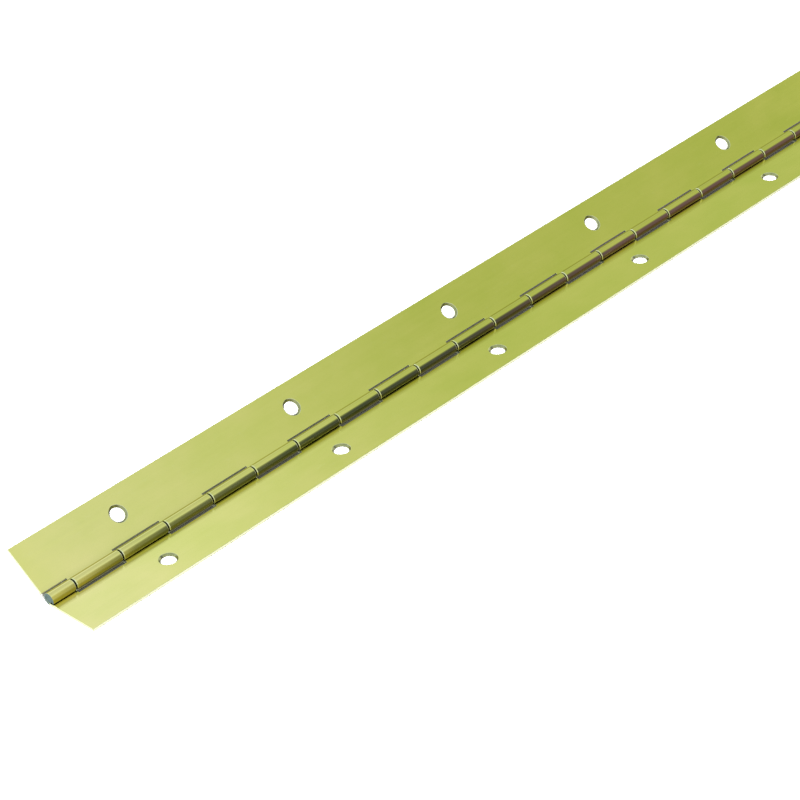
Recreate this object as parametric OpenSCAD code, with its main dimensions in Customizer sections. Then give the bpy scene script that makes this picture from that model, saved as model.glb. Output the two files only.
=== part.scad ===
// Piano hinge: two leaves of thin sheet whose fingers are rolled round one pin.
// X runs along the pin. The fixed leaf lies flat with its back face on Z = 0 and reaches towards -Y.
// The swinging leaf reaches towards +Y. The origin is below the middle of the pin's axis.

/* [Strip] */
// Distance between neighbouring screw holes along the hinge
hole_pitch = 60; // [40:5:80]
// Number of screw holes in each leaf
hole_count = 6; // [2:2:12]
// Width of one leaf, from the pin's axis to its outer edge
leaf_w = 16; // [15:0.5:30]
// Thickness of the sheet
sheet = 0.7; // [0.5:0.1:1]
// Angle between the leaves as drawn, where 180 is laid flat
open_angle = 143; // [20:1:180]

/* [Knuckles] */
// Diameter of the pin
pin_d = 2; // [1.6:0.1:2.6]
// Radial running clearance between the pin and a knuckle
pin_clearance = 0.05; // [0.02:0.01:0.1]
// Gap between the ends of neighbouring knuckles
knuckle_gap = 0.4; // [0.1:0.05:0.6]
// Gap between the rolled end of the sheet and its own leaf
seam_gap = 0.25; // [0.05:0.05:0.3]
// Chamfer on the ends of the knuckles and of the pin
end_chamfer = 0.1; // [0.05:0.05:0.2]

/* [Screw holes] */
// Distance from the pin's axis to the row of holes
hole_row = 9.3; // [8.5:0.1:11]
// Diameter of a hole at the back face
hole_d = 3.9; // [3:0.1:4]
// Diameter of the countersink at the front face
countersink_d = 5; // [4.6:0.1:6]
// Height of the straight wall between the back face and the countersink
hole_land = 0.15; // [0.1:0.05:0.3]

/* [Hidden] */
knuckles_per_pitch = 4;
knuckle_pitch = hole_pitch / knuckles_per_pitch;
strip_l = hole_pitch * hole_count;
// The first and last knuckles are half as long as the others and belong to the fixed leaf
last_knuckle = knuckles_per_pitch * hole_count;
bore_r = pin_d / 2 + pin_clearance;
barrel_r = bore_r + sheet;
// The notches reach one sheet thickness past the barrel, so the leaves fold back a quarter turn past flat
notch_r = barrel_r + sheet;
seam_angle = acos((bore_r - seam_gap) / barrel_r);
countersink_h = sheet - hole_land;
// How far a cutting shape runs past the face it cuts
overrun = 1;
brass_plate = [0.76, 0.79, 0.43];
bare_steel = [0.55, 0.57, 0.6];
$fn = 64;

// Start and end of knuckle k along X, without the gap to its neighbours
function knuckle_start(k) = max(-strip_l / 2, (k - 0.5) * knuckle_pitch - strip_l / 2 + knuckle_gap / 2);
function knuckle_end(k) = min(strip_l / 2, (k + 0.5) * knuckle_pitch - strip_l / 2 - knuckle_gap / 2);
function knuckle_l(k) = knuckle_end(k) - knuckle_start(k);

fixed_leaf();
swinging_leaf();
hinge_pin();

module fixed_leaf() {
    color(brass_plate)
        translate([0, 0, barrel_r])
            rotate([0, 0, 180])
                leaf(first_own = 0);
}

module swinging_leaf() {
    color(brass_plate)
        translate([0, 0, barrel_r])
            rotate([180 - open_angle, 0, 0])
                leaf(first_own = 1);
}

module hinge_pin() {
    color(bare_steel)
        translate([-strip_l / 2, 0, barrel_r])
            rotate([0, 90, 0])
                rotate_extrude()
                    chamfered_section(pin_d / 2, strip_l);
}

// One leaf about the pin's axis, lying flat and reaching towards +Y; it owns every second knuckle
module leaf(first_own) {
    difference() {
        union() {
            translate([-strip_l / 2, 0, -barrel_r])
                cube([strip_l, leaf_w, sheet]);
            for (k = [first_own : 2 : last_knuckle])
                curl(k);
        }
        for (k = [1 - first_own : 2 : last_knuckle])
            notch(k);
        for (i = [0 : hole_count - 1])
            translate([(i + 0.5) * hole_pitch - strip_l / 2, hole_row, -barrel_r])
                screw_hole();
    }
}

// The sheet rolled round the pin: up from under it, over the top and down to the front of its leaf
module curl(k) {
    held = k == 0 || k == last_knuckle;
    translate([knuckle_start(k), 0, 0])
        rotate([90, 0, 90])
            intersection() {
                linear_extrude(knuckle_l(k))
                    curl_section(held ? pin_d / 2 : bore_r);
                rotate_extrude()
                    chamfered_section(barrel_r, knuckle_l(k));
            }
}

// The rolled sheet seen along the pin, open between the seam and the root of its leaf
module curl_section(inner_r) {
    reach = 2 * barrel_r;
    difference() {
        circle(r = barrel_r);
        circle(r = inner_r);
        polygon([
            [0, 0],
            [0, -reach],
            [reach, -reach],
            [reach * sin(seam_angle), -reach * cos(seam_angle)]
        ]);
    }
}

// Room in the sheet for knuckle k of the other leaf
module notch(k) {
    from = k == 0 ? -strip_l / 2 - overrun : knuckle_start(k) - knuckle_gap;
    to = k == last_knuckle ? strip_l / 2 + overrun : knuckle_end(k) + knuckle_gap;
    translate([from, -overrun, -barrel_r - overrun])
        cube([to - from, notch_r + overrun, sheet + 2 * overrun]);
}

module screw_hole() {
    flare = (countersink_d - hole_d) / countersink_h;
    translate([0, 0, -overrun])
        cylinder(d = hole_d, h = sheet + 2 * overrun);
    translate([0, 0, hole_land])
        cylinder(d1 = hole_d, d2 = hole_d + flare * (countersink_h + overrun), h = countersink_h + overrun);
}

// Half section of a round bar of length l with both ends chamfered
module chamfered_section(r, l) {
    polygon([
        [0, 0],
        [r - end_chamfer, 0],
        [r, end_chamfer],
        [r, l - end_chamfer],
        [r - end_chamfer, l],
        [0, l]
    ]);
}
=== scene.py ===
"""Looks of a piano hinge: two brass-plated sheet leaves rolled round a steel pin, on a pale studio floor.

Every length is in metres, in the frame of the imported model: X along the pin, Z up, and the fixed
leaf flat on Z = 0. Each piece is made lying flat about the pin's axis and then put in its place.
"""

import math

import bmesh
import bpy
from mathutils import Matrix, Vector


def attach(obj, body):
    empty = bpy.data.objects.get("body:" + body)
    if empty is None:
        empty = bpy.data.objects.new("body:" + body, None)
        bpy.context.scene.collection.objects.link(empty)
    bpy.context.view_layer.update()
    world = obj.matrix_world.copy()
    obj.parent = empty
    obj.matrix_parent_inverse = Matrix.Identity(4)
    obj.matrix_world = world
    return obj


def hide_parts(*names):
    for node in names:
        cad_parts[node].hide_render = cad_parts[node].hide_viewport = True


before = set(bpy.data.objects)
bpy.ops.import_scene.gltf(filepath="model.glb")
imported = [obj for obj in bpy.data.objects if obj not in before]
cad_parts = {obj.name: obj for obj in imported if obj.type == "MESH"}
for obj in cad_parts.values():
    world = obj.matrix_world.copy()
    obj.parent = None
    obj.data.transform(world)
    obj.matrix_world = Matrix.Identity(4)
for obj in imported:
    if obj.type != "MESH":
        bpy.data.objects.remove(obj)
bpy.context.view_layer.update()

MM = 0.001

# The sheet, the roll and the screw holes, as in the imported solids
HOLE_PITCH = 60 * MM
HOLE_COUNT = 6
LEAF_W = 16 * MM
SHEET = 0.7 * MM
PIN_R = 1.0 * MM
PIN_CLEARANCE = 0.05 * MM
KNUCKLE_GAP = 0.4 * MM
SEAM_GAP = 0.25 * MM
HOLE_ROW = 9.3 * MM
HOLE_R = 1.95 * MM
COUNTERSINK_R = 2.5 * MM
HOLE_LAND = 0.15 * MM
OPEN_ANGLE = 143

KNUCKLES_PER_PITCH = 4
KNUCKLE_PITCH = HOLE_PITCH / KNUCKLES_PER_PITCH
LAST_KNUCKLE = KNUCKLES_PER_PITCH * HOLE_COUNT
STRIP_L = HOLE_PITCH * HOLE_COUNT
BORE_R = PIN_R + PIN_CLEARANCE
BARREL_R = BORE_R + SHEET
NOTCH_R = BARREL_R + SHEET
SEAM_ANGLE = math.acos((BORE_R - SEAM_GAP) / BARREL_R)
ROLL_ANGLE = 2 * math.pi - SEAM_ANGLE

# How finely the pieces are made
ROLL_STEPS = 72
HOLE_STEPS = 64
HOLE_CELL = 3.3 * MM
PIN_STEPS = 72
PIN_ROUND_STEPS = 4
BEVEL_SEGMENTS = 3
# Points closer than this are the same point
TOUCHING = 0.001 * MM
# Edges that turn by at least this many degrees are rounded
SHARP_EDGE = 28
# How strongly the large faces set the shading of the small ones
NORMAL_WEIGHT = 90

# Rounding of the sheet's edges: the outer rims of the knuckles are rolled over more than the cut edges
RIM_ROUND = 0.26 * MM
CUT_SHARE = 0.2
PIN_ROUND = 0.1 * MM
# Radius of the flat middle of a pin's end, as a share of the pin's
PIN_MIDDLE = 0.55

# The front face swells a little where the sheet starts to roll: how high, and where it begins, peaks
# and ends
SWELL = 0.19 * MM
SWELL_FROM = 3.8 * MM
SWELL_PEAK = 1.9 * MM
SWELL_END = 1.4 * MM
SWELL_STEPS = 6

# The studio as the hinge sees it. A direction round the pin's axis is a share of a full turn: 0 is +Y,
# 0.25 is straight up and 0.5 is -Y. The first table says how much of the high sky is seen there, rather
# than the low one. Both skies change with x, the share of a direction that runs along the pin. Their tones
# are chosen so that the leaves and the barrel mirror about the colours that the photo shows from its own
# viewpoint.
OVERHEAD = [
    (0.0, 0.2),
    (0.07, 0.3),
    (0.1, 0.94),
    (0.124, 0.94),
    (0.146, 0.76),
    (0.17, 0.8),
    (0.2, 0.86),
    (0.25, 0.88),
    (0.325, 0.865),
    (0.335, 0.66),
    (0.35, 0.4),
    (0.375, 0.16),
    (0.4, 0.06),
    (0.43, 0.0),
    (0.85, 0.0),
    (1.0, 0.2),
]
# How much of the shaded ground is seen in each direction, and its tone as a share of the sky's strength
GROUND = [(0.0, 0.0), (0.49, 0.0), (0.54, 1.0), (0.78, 1.0), (0.86, 0.0)]
GROUND_TONE = (0.05, 0.05, 0.045)
SKY_FROM, SKY_TO = 0.4, 0.8
SKY_STRENGTH = 3.0
HIGH_SKY = [
    (0.42, (1.2, 1.35, 1.3)),
    (0.46, (1.25, 1.4, 2.2)),
    (0.5, (1.18, 1.35, 1.7)),
    (0.55, (0.97, 1.13, 1.1)),
    (0.6, (0.78, 0.95, 0.66)),
    (0.72, (0.73, 0.91, 0.54)),
    (0.8, (1.5, 1.6, 1.3)),
]
LOW_SKY = [
    (0.42, (1.1, 1.15, 1.0)),
    (0.46, (0.85, 0.85, 0.65)),
    (0.475, (0.42, 0.45, 0.35)),
    (0.5, (0.23, 0.27, 0.35)),
    (0.55, (0.09, 0.12, 0.2)),
    (0.6, (0.08, 0.1, 0.24)),
    (0.66, (0.22, 0.14, 0.46)),
    (0.72, (0.22, 0.14, 0.46)),
    (0.8, (0.9, 0.9, 0.85)),
]

# Towards the near end of the hinge the top of the sky is dimmer: how much of the dimming is seen in each
# direction round the axis, how deep it is, and over which x it fades out
DIMMING = [
    (0.0, 0.0),
    (0.13, 0.0),
    (0.15, 1.0),
    (0.25, 1.0),
    (0.29, 0.45),
    (0.322, 0.25),
    (0.37, 0.0),
]
DIM_SHARE = 0.2
DIM_FROM, DIM_TO = 0.5, 0.54

# The camera, in the frame: where it stands, the point on the floor that it looks at, its roll in degrees,
# and its lens and sensor width in millimetres
CAMERA_EYE = (-477.8 * MM, -436.46 * MM, 387.66 * MM)
CAMERA_TARGET = (-63.45 * MM, -4.75 * MM, 0.0)
CAMERA_ROLL = -4.73
CAMERA_LENS = 122.16
CAMERA_SENSOR = 36.0
CAMERA_CLIP = (0.01, 50.0)

# Lamps: name, edge length in metres, power in watts, and where each stands
LAMPS = [
    ("key", 0.35, 170, (-0.7, 0.32, 1.4)),
    ("front", 0.16, 205, (-0.3, -1.2, 0.18)),
]

# Half the floor's edge length, and how far it lies below the hinge
FLOOR_HALF = 6.0
FLOOR_DROP = 0.02 * MM

BACK, FRONT = 0, 1
# The row of grid cells that the screw holes are drilled in
HOLE_CELL_ROW = 1
PLATED, CUT, RIM_HIGHLIGHT, EDGE_REFLECTION, SUNK, SAWN = range(6)


def knuckle_span(k):
    """Start and end of knuckle k along X."""
    start = (k - 0.5) * KNUCKLE_PITCH - STRIP_L / 2 + KNUCKLE_GAP / 2
    end = (k + 0.5) * KNUCKLE_PITCH - STRIP_L / 2 - KNUCKLE_GAP / 2
    return max(-STRIP_L / 2, start), min(STRIP_L / 2, end)


def hole_centres():
    return [(i + 0.5) * HOLE_PITCH - STRIP_L / 2 for i in range(HOLE_COUNT)]


def swell(s):
    """How far the front face stands up at a distance s from the axis."""
    if s >= SWELL_FROM or s <= SWELL_END:
        return 0.0
    if s >= SWELL_PEAK:
        return SWELL * ((SWELL_FROM - s) / (SWELL_FROM - SWELL_PEAK)) ** 2
    return SWELL * (s - SWELL_END) / (SWELL_PEAK - SWELL_END)


def place(x, s, depth, grip=0.0):
    """A point of the sheet: s is the distance from the axis on the flat leaf, or minus the rolled
    angle; depth runs from the back face to the front; grip closes the roll on the pin."""
    if s >= 0:
        return Vector((x, s, depth - BARREL_R))
    r = BARREL_R - depth - grip * depth / SHEET
    return Vector((x, r * math.sin(s), -r * math.cos(s)))


class Sheet:
    """The vertices of one leaf, each made once and found again by its key."""

    def __init__(self):
        self.bm = bmesh.new()
        self.made = {}

    def vert(self, key, co):
        if key not in self.made:
            self.made[key] = self.bm.verts.new(co)
        return self.made[key]

    def face(self, verts, material):
        made = self.bm.faces.new(verts)
        made.material_index = material
        made.smooth = True
        return made


def leaf_columns(spans):
    """Where the grid of one leaf is cut along X: at its ends, its knuckles and its hole cells."""
    cuts = {-STRIP_L / 2, STRIP_L / 2}
    for start, end in spans:
        cuts.update((start, end))
    for x in hole_centres():
        cuts.update((x - HOLE_CELL, x + HOLE_CELL))
    merged = []
    for x in sorted(cuts):
        if not merged or x - merged[-1] > TOUCHING:
            merged.append(x)
    return merged


def leaf_rows():
    """Cuts across the sheet, from its outer edge to the end of its roll, which has negative angles."""
    rising = [SWELL_FROM + (SWELL_PEAK - SWELL_FROM) * i / SWELL_STEPS for i in range(SWELL_STEPS + 1)]
    inner = sorted([*rising, NOTCH_R, SWELL_END, 0.0], reverse=True)
    flat = [LEAF_W, HOLE_ROW + HOLE_CELL, HOLE_ROW - HOLE_CELL, *inner]
    rolled = [-ROLL_ANGLE * (i + 1) / ROLL_STEPS for i in range(ROLL_STEPS)]
    return flat + rolled


def hole_patch(sheet, x, corner_keys, layer, radius, depth):
    """The flat sheet round a screw hole on one face, from a square cell in to the hole's rim."""
    rim = []
    for i in range(HOLE_STEPS):
        a = 2 * math.pi * i / HOLE_STEPS
        co = place(x + radius * math.cos(a), HOLE_ROW + radius * math.sin(a), depth)
        rim.append(sheet.vert(("rim", layer, round(x / MM), i), co))
    eighth = HOLE_STEPS // 8
    for side in range(4):
        first = eighth * (2 * side + 1)
        arc = [rim[(first + i) % HOLE_STEPS] for i in range(2 * eighth + 1)]
        near = sheet.made[corner_keys[side]]
        far = sheet.made[corner_keys[(side + 1) % 4]]
        sheet.face([near, far] + arc[::-1], PLATED)
    return rim


def join_rings(sheet, a, b, material):
    for i in range(len(a)):
        j = (i + 1) % len(a)
        sheet.face([a[i], a[j], b[j], b[i]], material)


def screw_hole(sheet, x, cell):
    """A countersunk hole: a short straight land at the back, then a cone out to the front."""
    c0, c1, r0, r1 = cell
    corners = [(c1, r0), (c0, r0), (c0, r1), (c1, r1)]
    back = hole_patch(sheet, x, [(BACK, *c) for c in corners], BACK, HOLE_R, 0.0)
    front = hole_patch(sheet, x, [(FRONT, *c) for c in corners], FRONT, COUNTERSINK_R, SHEET)
    land = []
    for i in range(HOLE_STEPS):
        a = 2 * math.pi * i / HOLE_STEPS
        co = place(x + HOLE_R * math.cos(a), HOLE_ROW + HOLE_R * math.sin(a), HOLE_LAND)
        land.append(sheet.vert(("land", round(x / MM), i), co))
    join_rings(sheet, back, land, SUNK)
    join_rings(sheet, land, front, SUNK)


def leaf_mesh(name, first_own):
    """One leaf with its knuckles, lying flat about the pin's axis and reaching towards +Y."""
    owned = range(first_own, LAST_KNUCKLE + 1, 2)
    spans = [knuckle_span(k) for k in owned]
    gripping = [k in (0, LAST_KNUCKLE) for k in owned]
    columns, rows = leaf_columns(spans), leaf_rows()
    plate_rows = rows.index(NOTCH_R)
    sheet = Sheet()
    cells, owner = set(), {}
    for c in range(len(columns) - 1):
        middle = (columns[c] + columns[c + 1]) / 2
        inside = [n for n, (a, b) in enumerate(spans) if a < middle < b]
        owner[c] = inside[0] if inside else None
        last = len(rows) - 1 if inside else plate_rows
        cells.update((c, r) for r in range(last))

    def corner(layer, c, r, cell_column):
        held = owner[cell_column] is not None and gripping[owner[cell_column]]
        grip = PIN_CLEARANCE if held and rows[r] < 0 else 0.0
        depth = SHEET + swell(rows[r]) if layer == FRONT else 0.0
        return sheet.vert((layer, c, r), place(columns[c], rows[r], depth, grip))

    for c, r in sorted(cells):
        for layer in (BACK, FRONT):
            for dc, dr in ((0, 0), (1, 0), (1, 1), (0, 1)):
                corner(layer, c + dc, r + dr, c)
    drilled = {}
    for x in hole_centres():
        c = min(range(len(columns)), key=lambda i: abs(columns[i] - (x - HOLE_CELL)))
        drilled[(c, HOLE_CELL_ROW)] = x
    for c, r in sorted(cells):
        if (c, r) in drilled:
            screw_hole(sheet, drilled[(c, r)], (c, c + 1, r, r + 1))
            continue
        for layer in (BACK, FRONT):
            ring = [(c, r), (c + 1, r), (c + 1, r + 1), (c, r + 1)]
            sheet.face([sheet.made[(layer, *p)] for p in ring], PLATED)
    for c, r in sorted(cells):
        around = {
            (c, r - 1): ((c, r), (c + 1, r)),
            (c, r + 1): ((c, r + 1), (c + 1, r + 1)),
            (c - 1, r): ((c, r), (c, r + 1)),
            (c + 1, r): ((c + 1, r), (c + 1, r + 1)),
        }
        for neighbour, (p, q) in around.items():
            if neighbour not in cells:
                wall = [(BACK, *p), (BACK, *q), (FRONT, *q), (FRONT, *p)]
                at_end = neighbour[0] not in range(len(columns) - 1)
                if at_end or neighbour[1] < 0:
                    # The outer edges take the pale finish that paints a reflection of the floor
                    finish = SAWN if rows[r] <= 0 else EDGE_REFLECTION
                else:
                    finish = CUT if r >= plate_rows else PLATED
                sheet.face([sheet.made[key] for key in wall], finish)
    bm = sheet.bm
    bmesh.ops.recalc_face_normals(bm, faces=bm.faces)
    weight = bm.edges.layers.float.new("bevel_weight_edge")
    sharp = math.radians(SHARP_EDGE)
    for edge in bm.edges:
        if len(edge.link_faces) != 2 or edge.calc_face_angle(0.0) < sharp:
            continue
        radii = [math.hypot(v.co.y, v.co.z) for v in edge.verts]
        on_rim = all(abs(r - BARREL_R) < TOUCHING for r in radii)
        along_rim = abs(edge.verts[0].co.x - edge.verts[1].co.x) < TOUCHING
        sawn = abs(edge.verts[0].co.x) > STRIP_L / 2 - TOUCHING
        edge[weight] = 1.0 if on_rim and along_rim and not sawn else CUT_SHARE
    mesh = bpy.data.meshes.new(name)
    bm.to_mesh(mesh)
    bm.free()
    return mesh


def pin_mesh(name):
    """The pin: a drawn steel rod whose sawn ends have a slightly rounded rim."""
    arc = [math.pi / 2 * i / PIN_ROUND_STEPS for i in range(PIN_ROUND_STEPS + 1)]
    end = STRIP_L / 2
    rim = [(PIN_R - PIN_ROUND * (1 - math.sin(a)), end - PIN_ROUND * (1 - math.cos(a))) for a in arc]
    rings = [(PIN_MIDDLE * PIN_R, end)] + rim
    profile = [(r, -x) for r, x in rings] + [(r, x) for r, x in reversed(rings)]
    bm = bmesh.new()
    made = []
    for r, x in profile:
        turn = [2 * math.pi * i / PIN_STEPS for i in range(PIN_STEPS)]
        made.append([bm.verts.new((x, r * math.cos(a), r * math.sin(a))) for a in turn])
    for a, b in zip(made, made[1:]):
        for i in range(PIN_STEPS):
            j = (i + 1) % PIN_STEPS
            bm.faces.new([a[i], a[j], b[j], b[i]])
    bm.faces.new(made[0])
    bm.faces.new(made[-1])
    for face in bm.faces:
        face.smooth = len(face.verts) == 4
    bmesh.ops.recalc_face_normals(bm, faces=bm.faces)
    mesh = bpy.data.meshes.new(name)
    bm.to_mesh(mesh)
    bm.free()
    return mesh


def add_piece(name, mesh, materials):
    piece = bpy.data.objects.new(name, mesh)
    bpy.context.scene.collection.objects.link(piece)
    for material in materials:
        mesh.materials.append(material)
    return piece


def round_edges(piece):
    bevel = piece.modifiers.new("rounded_edges", "BEVEL")
    bevel.limit_method = "WEIGHT"
    bevel.width = RIM_ROUND
    bevel.segments = BEVEL_SEGMENTS
    # The rounded edges take the pale finish that paints a highlight on the rims
    bevel.material = RIM_HIGHLIGHT
    bevel.use_clamp_overlap = True
    normals = piece.modifiers.new("face_normals", "WEIGHTED_NORMAL")
    normals.mode = "FACE_AREA_WITH_ANGLE"
    normals.weight = NORMAL_WEIGHT


class Nodes:
    """A material's node tree, with one call for each kind of node that the finishes use."""

    def __init__(self, tree):
        self.tree = tree
        tree.nodes.clear()

    def add(self, kind, **settings):
        node = self.tree.nodes.new(kind)
        for key, value in settings.items():
            setattr(node, key, value)
        return node

    def link(self, source, target):
        self.tree.links.new(source, target)

    def stretched(self, scale):
        """Object coordinates scaled by a different amount along each axis."""
        coords = self.add("ShaderNodeTexCoord")
        mapping = self.add("ShaderNodeMapping")
        mapping.inputs["Scale"].default_value = scale
        self.link(coords.outputs["Object"], mapping.inputs["Vector"])
        return mapping.outputs["Vector"]

    def noise(self, scale, detail=3.0, roughness=0.5, distortion=0.0):
        node = self.add("ShaderNodeTexNoise")
        node.inputs["Scale"].default_value = 1.0
        node.inputs["Detail"].default_value = detail
        node.inputs["Roughness"].default_value = roughness
        node.inputs["Distortion"].default_value = distortion
        self.link(self.stretched(scale), node.inputs["Vector"])
        return node.outputs["Fac"]

    def ramp(self, value, stops):
        node = self.add("ShaderNodeValToRGB")
        elements = node.color_ramp.elements
        while len(elements) < len(stops):
            elements.new(0.5)
        for element, (position, color) in zip(elements, stops):
            element.position = position
            element.color = (*color, 1.0)
        self.link(value, node.inputs["Fac"])
        return node.outputs["Color"]

    def span(self, value, low, high, start=0.0, end=1.0, smooth=False):
        """value from start to end, brought to low to high and held there beyond."""
        node = self.add("ShaderNodeMapRange")
        node.interpolation_type = "SMOOTHSTEP" if smooth else "LINEAR"
        node.inputs["From Min"].default_value = start
        node.inputs["From Max"].default_value = end
        node.inputs["To Min"].default_value = low
        node.inputs["To Max"].default_value = high
        self.link(value, node.inputs["Value"])
        return node.outputs["Result"]

    def math(self, operation, a, b):
        node = self.add("ShaderNodeMath", operation=operation)
        for socket, value in zip(node.inputs, (a, b)):
            if isinstance(value, (int, float)):
                socket.default_value = value
            else:
                self.link(value, socket)
        return node.outputs["Value"]

    def mix(self, blend, factor, a, b):
        node = self.add("ShaderNodeMix", data_type="RGBA", blend_type=blend)
        for name, value in (("Factor", factor), ("A", a), ("B", b)):
            kind = "VALUE" if name == "Factor" else "RGBA"
            socket = next(s for s in node.inputs if s.name == name and s.type == kind)
            if isinstance(value, (int, float)):
                socket.default_value = value
            elif isinstance(value, tuple):
                socket.default_value = (*value, 1.0)
            else:
                self.link(value, socket)
        return next(s for s in node.outputs if s.type == "RGBA")

    def bump(self, height, distance, before=None):
        node = self.add("ShaderNodeBump")
        node.inputs["Strength"].default_value = 1.0
        node.inputs["Distance"].default_value = distance
        self.link(height, node.inputs["Height"])
        if before is not None:
            self.link(before, node.inputs["Normal"])
        return node.outputs["Normal"]

    def metal(self, color, roughness, normal):
        shader = self.add("ShaderNodeBsdfPrincipled")
        shader.inputs["Metallic"].default_value = 1.0
        self.link(color, shader.inputs["Base Color"])
        self.link(roughness, shader.inputs["Roughness"])
        self.link(normal, shader.inputs["Normal"])
        output = self.add("ShaderNodeOutputMaterial")
        self.link(shader.outputs["BSDF"], output.inputs["Surface"])
        return shader


def new_material(name):
    material = bpy.data.materials.new(name)
    material.use_nodes = True
    return material, Nodes(material.node_tree)


def brass_plate():
    """Bright brass plating on rolled sheet: faint rolling lines along X, soft blotches, hairline marks."""
    material, n = new_material("brass_plate")
    blotches = n.noise((55, 90, 90), detail=4.0, roughness=0.55)
    lines = n.noise((9, 950, 950), detail=5.0, roughness=0.6)
    grain = n.noise((500, 5200, 5200), detail=3.0)
    waves = n.noise((28, 70, 70), detail=1.0)
    hair = n.noise((70, 420, 420), detail=2.0, distortion=1.6)
    tone = n.ramp(blotches, [(0.3, (0.58, 0.55, 0.13)), (0.7, (0.65, 0.58, 0.165))])
    streaked = n.mix("MULTIPLY", 0.18, tone, n.ramp(lines, [(0.3, (0.86, 0.86, 0.8)), (0.7, (1, 1, 1))]))
    near_half = n.math("ABSOLUTE", n.math("SUBTRACT", hair, 0.5), 0.0)
    marks = n.span(near_half, 1.0, 0.0, 0.0, 0.004)
    color = n.mix("MIX", n.math("MULTIPLY", marks, 0.12), streaked, (0.74, 0.74, 0.42))
    roughness = n.math(
        "ADD",
        n.span(blotches, 0.045, 0.085, 0.3, 0.7),
        n.math("ADD", n.span(lines, 0.0, 0.03, 0.35, 0.75), n.math("MULTIPLY", marks, 0.08)),
    )
    normal = n.bump(waves, 6e-6)
    normal = n.bump(lines, 0.4e-6, normal)
    normal = n.bump(grain, 0.22e-6, normal)
    n.metal(color, roughness, normal)
    return material


def cut_steel():
    """Sheared and drilled steel: dull grey with fine lines that run along the sheet."""
    material, n = new_material("cut_steel")
    lines = n.noise((350, 350, 9000), detail=4.0, roughness=0.6)
    patches = n.noise((900, 900, 900), detail=3.0)
    color = n.ramp(patches, [(0.3, (0.045, 0.05, 0.035)), (0.7, (0.1, 0.105, 0.08))])
    roughness = n.span(lines, 0.24, 0.46, 0.3, 0.7)
    normal = n.bump(lines, 2.5e-6)
    n.metal(color, roughness, normal)
    return material


def edge_reflection_paint():
    """The long outer edges and the ends of the leaves: pale and satin, the pale tone being a painted
    reflection of the bright floor.
    """
    material, n = new_material("edge_reflection_paint")
    lines = n.noise((60, 2600, 7000), detail=4.0, roughness=0.6)
    # Painted reflection: the pale tone makes the edges read as light lines
    color = n.ramp(lines, [(0.3, (0.74, 0.75, 0.46)), (0.7, (0.84, 0.84, 0.62))])
    roughness = n.span(lines, 0.22, 0.4, 0.3, 0.7)
    normal = n.bump(lines, 1.5e-6)
    shader = n.metal(color, roughness, normal)
    shader.inputs["Metallic"].default_value = 0.92
    return material


def sunk_steel():
    """Drilled and countersunk walls: thinly plated steel with turning marks."""
    material, n = new_material("sunk_steel")
    rings = n.noise((300, 300, 12000), detail=3.0, roughness=0.6)
    patches = n.noise((1100, 1100, 1100), detail=3.0)
    color = n.ramp(patches, [(0.3, (0.25, 0.26, 0.12)), (0.7, (0.38, 0.38, 0.22))])
    roughness = n.span(rings, 0.14, 0.3, 0.3, 0.7)
    normal = n.bump(rings, 2.0e-6)
    n.metal(color, roughness, normal)
    return material


def rim_highlight_paint():
    """The rolled-over edges of the sheet, coloured pale cream in patches as a painted highlight on the
    rims.
    """
    material, n = new_material("rim_highlight_paint")
    rim_patches = n.noise((420, 1500, 1500), detail=4.0, roughness=0.6)
    # Painted highlight: the pale cream tone makes the rounded rims read bright
    color = n.ramp(rim_patches, [(0.38, (0.6, 0.62, 0.27)), (0.62, (0.68, 0.68, 0.5))])
    roughness = n.span(rim_patches, 0.14, 0.3, 0.3, 0.7)
    normal = n.bump(n.noise((1500, 6000, 6000), detail=3.0), 0.8e-6)
    n.metal(color, roughness, normal)
    return material


def drawn_steel():
    """The pin: drawn rod with lines along X and sawn ends."""
    material, n = new_material("drawn_steel")
    lines = n.noise((120, 6500, 6500), detail=4.0, roughness=0.6)
    patches = n.noise((700, 1200, 1200), detail=4.0)
    color = n.ramp(patches, [(0.3, (0.1, 0.16, 0.18)), (0.7, (0.17, 0.24, 0.26))])
    roughness = n.span(lines, 0.2, 0.38, 0.3, 0.7)
    normal = n.bump(lines, 2.0e-6)
    n.metal(color, roughness, normal)
    return material


def floor_paper():
    """Plain pale paper with a very faint tooth."""
    material, n = new_material("floor_paper")
    tooth = n.noise((900, 900, 900), detail=3.0)
    color = n.ramp(tooth, [(0.3, (0.24, 0.24, 0.24)), (0.7, (0.26, 0.26, 0.26))])
    shader = n.add("ShaderNodeBsdfPrincipled")
    shader.inputs["Roughness"].default_value = 0.9
    shader.inputs["Specular IOR Level"].default_value = 0.1
    n.link(color, shader.inputs["Base Color"])
    output = n.add("ShaderNodeOutputMaterial")
    n.link(shader.outputs["BSDF"], output.inputs["Surface"])
    return material


def build_leaves():
    """Both leaves, from one shape: the fixed one turned to reach towards -Y, the other tilted up."""
    finishes = [brass_plate(), cut_steel(), rim_highlight_paint(), edge_reflection_paint(), sunk_steel(), drawn_steel()]
    lift = Matrix.Translation((0, 0, BARREL_R))
    turned = Matrix.Rotation(math.pi, 4, "Z")
    tilted = Matrix.Rotation(math.radians(180 - OPEN_ANGLE), 4, "X")
    plans = (
        ("fixed_leaf_sheet", "fixed_leaf", "fixed", 0, turned),
        ("swinging_leaf_sheet", "swinging_leaf", "swinging", 1, tilted),
    )
    for name, node, body, first_own, turn in plans:
        mesh = leaf_mesh(name, first_own)
        mesh.transform(lift @ turn)
        piece = add_piece(name, mesh, finishes)
        round_edges(piece)
        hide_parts(node)
        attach(piece, body)


def build_pin():
    mesh = pin_mesh("hinge_pin_rod")
    mesh.transform(Matrix.Translation((0, 0, BARREL_R)))
    piece = add_piece("hinge_pin_rod", mesh, [drawn_steel()])
    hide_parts("hinge_pin")
    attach(piece, "fixed")


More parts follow.
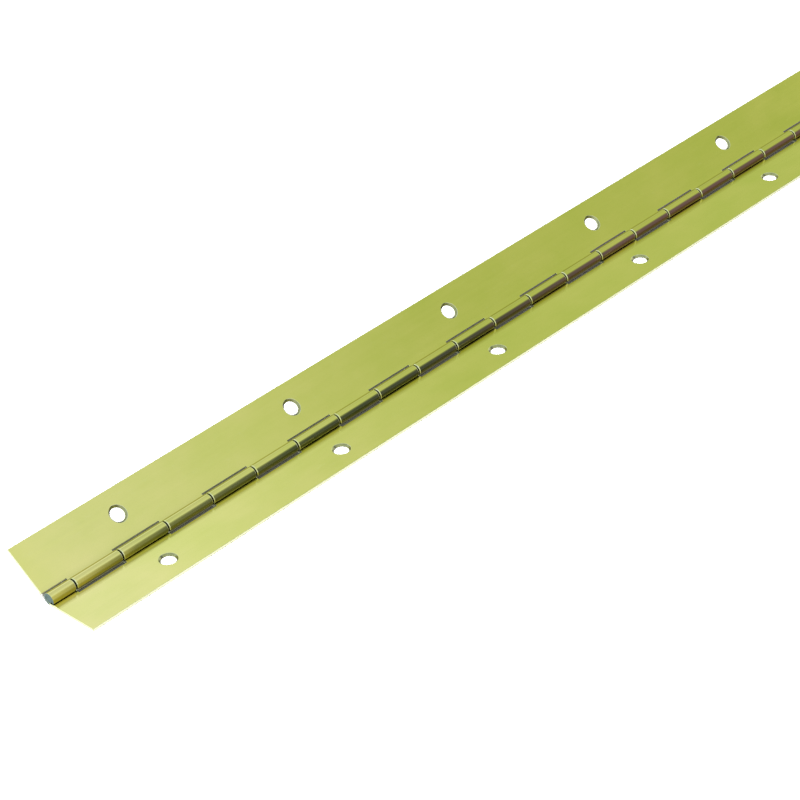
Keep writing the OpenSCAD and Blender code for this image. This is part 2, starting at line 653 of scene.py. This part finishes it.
def build_floor():
    bm = bmesh.new()
    corners = [(-1, -1), (1, -1), (1, 1), (-1, 1)]
    bm.faces.new([bm.verts.new((x * FLOOR_HALF, y * FLOOR_HALF, -FLOOR_DROP)) for x, y in corners])
    mesh = bpy.data.meshes.new("floor")
    bm.to_mesh(mesh)
    bm.free()
    floor = add_piece("floor", mesh, [floor_paper()])
    floor.visible_glossy = False


def sky_stops(table):
    """Stops of a ramp along X, from a table of x and the radiance there."""
    return [
        ((x - SKY_FROM) / (SKY_TO - SKY_FROM), tuple(value / SKY_STRENGTH for value in radiance))
        for x, radiance in table
    ]


def light_studio():
    """A white studio with a big soft light overhead, darker low down on the side of the viewer."""
    world = bpy.data.worlds.new("studio")
    bpy.context.scene.world = world
    world.use_nodes = True
    n = Nodes(world.node_tree)
    coords = n.add("ShaderNodeTexCoord")
    parts = n.add("ShaderNodeSeparateXYZ")
    n.link(coords.outputs["Generated"], parts.inputs["Vector"])
    x, y, z = (parts.outputs[i] for i in range(3))
    turn = n.math("FRACT", n.math("DIVIDE", n.math("ARCTAN2", z, y), 2 * math.pi), 0.0)
    overhead = n.ramp(turn, [(stop, (share,) * 3) for stop, share in OVERHEAD])
    reach = n.span(x, 0.0, 1.0, SKY_FROM, SKY_TO)
    high, low = (n.ramp(reach, sky_stops(table)) for table in (HIGH_SKY, LOW_SKY))
    dimmed = n.ramp(turn, [(stop, (share,) * 3) for stop, share in DIMMING])
    dim = n.math("MULTIPLY", dimmed, n.span(x, DIM_SHARE, 0.0, DIM_FROM, DIM_TO))
    sky = n.mix("MIX", dim, n.mix("MIX", overhead, low, high), (0.0, 0.0, 0.0))
    below = n.ramp(turn, [(stop, (share,) * 3) for stop, share in GROUND])
    background = n.add("ShaderNodeBackground")
    background.inputs["Strength"].default_value = SKY_STRENGTH
    n.link(n.mix("MIX", below, sky, GROUND_TONE), background.inputs["Color"])
    output = n.add("ShaderNodeOutputWorld")
    n.link(background.outputs["Background"], output.inputs["Surface"])

    for lamp in LAMPS:
        add_lamp(*lamp)


def add_lamp(name, size, watts, location):
    """A soft lamp aimed at the hinge; the metal mirrors the studio instead of the lamp itself."""
    lamp = bpy.data.lights.new(name, "AREA")
    lamp.shape = "SQUARE"
    lamp.size = size
    lamp.energy = watts
    holder = bpy.data.objects.new(name, lamp)
    bpy.context.scene.collection.objects.link(holder)
    holder.location = location
    holder.rotation_euler = (-Vector(location)).to_track_quat("-Z", "Y").to_euler()
    holder.visible_glossy = False


def place_camera():
    """The camera that sees the hinge from its near left end, with a long lens and a small roll."""
    eye = Vector(CAMERA_EYE)
    look = (Vector(CAMERA_TARGET) - eye).to_track_quat("-Z", "Y")
    roll = Matrix.Rotation(math.radians(CAMERA_ROLL), 4, "Z")
    camera = bpy.data.cameras.new("camera")
    camera.lens = CAMERA_LENS
    camera.sensor_width = CAMERA_SENSOR
    camera.clip_start, camera.clip_end = CAMERA_CLIP
    holder = bpy.data.objects.new("camera", camera)
    bpy.context.scene.collection.objects.link(holder)
    holder.matrix_world = Matrix.Translation(eye) @ look.to_matrix().to_4x4() @ roll
    bpy.context.scene.camera = holder


bpy.context.scene.view_settings.view_transform = "Standard"
place_camera()
build_leaves()
build_pin()
build_floor()
light_studio()
